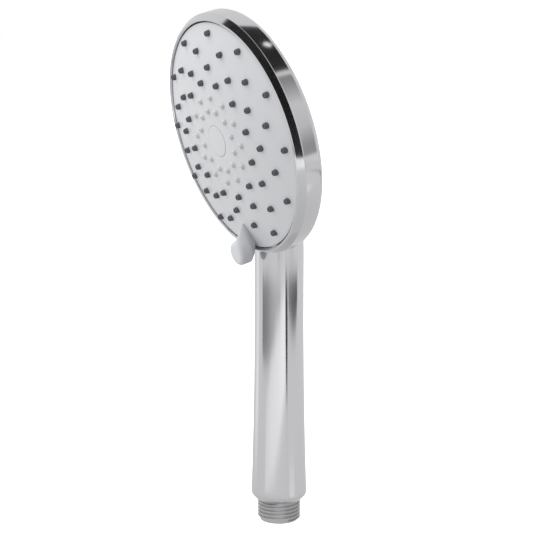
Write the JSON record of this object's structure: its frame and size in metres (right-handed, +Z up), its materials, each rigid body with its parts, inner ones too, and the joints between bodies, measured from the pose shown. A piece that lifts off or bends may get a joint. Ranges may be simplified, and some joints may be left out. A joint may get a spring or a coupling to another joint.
{
  "type": "handheld shower head",
  "caption": "Handheld shower head: chromed hollow handle with a male hose inlet, and a round domed spray face that a lever turns between spray patterns.",
  "frame": {"origin": "on the inlet thread's axis, halfway between its first and last full crests", "axes": "+Z up the handle from the hose end to the head, -Y the side that the face sprays towards, X across"},
  "size_m": [0.1174, 0.0539, 0.251],
  "materials": {
    "chrome_plate": "mirror-bright plated plastic",
    "nickel_thread": "satin plated thread",
    "white_plastic": "moulded",
    "green_plastic": "moulded",
    "orange_plastic": "moulded",
    "black_rubber": "smooth seal rubber",
    "steel": "bright",
    "grey_silicone": "satin silicone",
    "pale_silicone": "satin silicone",
    "grey_plastic": "glossy pale grey"
  },
  "bodies": {
    "body": {"body_shell": "chrome_plate", "trim_ring": "chrome_plate", "inlet_nipple": "nickel_thread", "filter_screen": "white_plastic", "flow_regulator": "green_plastic", "regulator_oring": "black_rubber", "nipple_oring": "black_rubber", "waterway_tube": "white_plastic", "tube_orings": "black_rubber", "valve_base": "white_plastic", "base_screws": "steel", "face_oring": "black_rubber", "port_spring": "steel", "detent_spring": "steel", "pivot_washer": "steel", "pivot_screw": "steel"},
    "selector": {"flow_disc": "white_plastic", "disc_screws": "steel", "chamber_tray": "white_plastic", "nozzle_mat": "grey_silicone", "centre_mat": "pale_silicone", "face_plate": "grey_plastic", "centre_cap": "grey_plastic"},
    "turbine": {"massage_turbine": "orange_plastic"},
    "port_seal": {"port_cup": "black_rubber"},
    "detent": {"detent_plunger": "white_plastic"}
  },
  "joints": [
    {"name": "face_turn", "type": "hinge", "parent": "body", "child": "selector", "pos_m": [0, -0.0265, 0.18599], "axis": [0, -0.9751, -0.2215], "range_deg": [-30, 30]},
    {"name": "turbine_spin", "type": "hinge", "parent": "selector", "child": "turbine", "pos_m": [0, -0.0265, 0.18599], "axis": [0, -0.9751, -0.2215], "continuous": true},
    {"name": "port_cup_press", "type": "slide", "parent": "body", "child": "port_seal", "axis": [0, -0.9751, -0.2215], "range_m": [-0.0005, 0], "stiffness_N_per_m": 400, "springref_m": 0.001},
    {"name": "detent_click", "type": "slide", "parent": "body", "child": "detent", "axis": [0, -0.9751, -0.2215], "range_m": [0, 0.0008], "stiffness_N_per_m": 600, "springref_m": 0.0015}
  ]
}
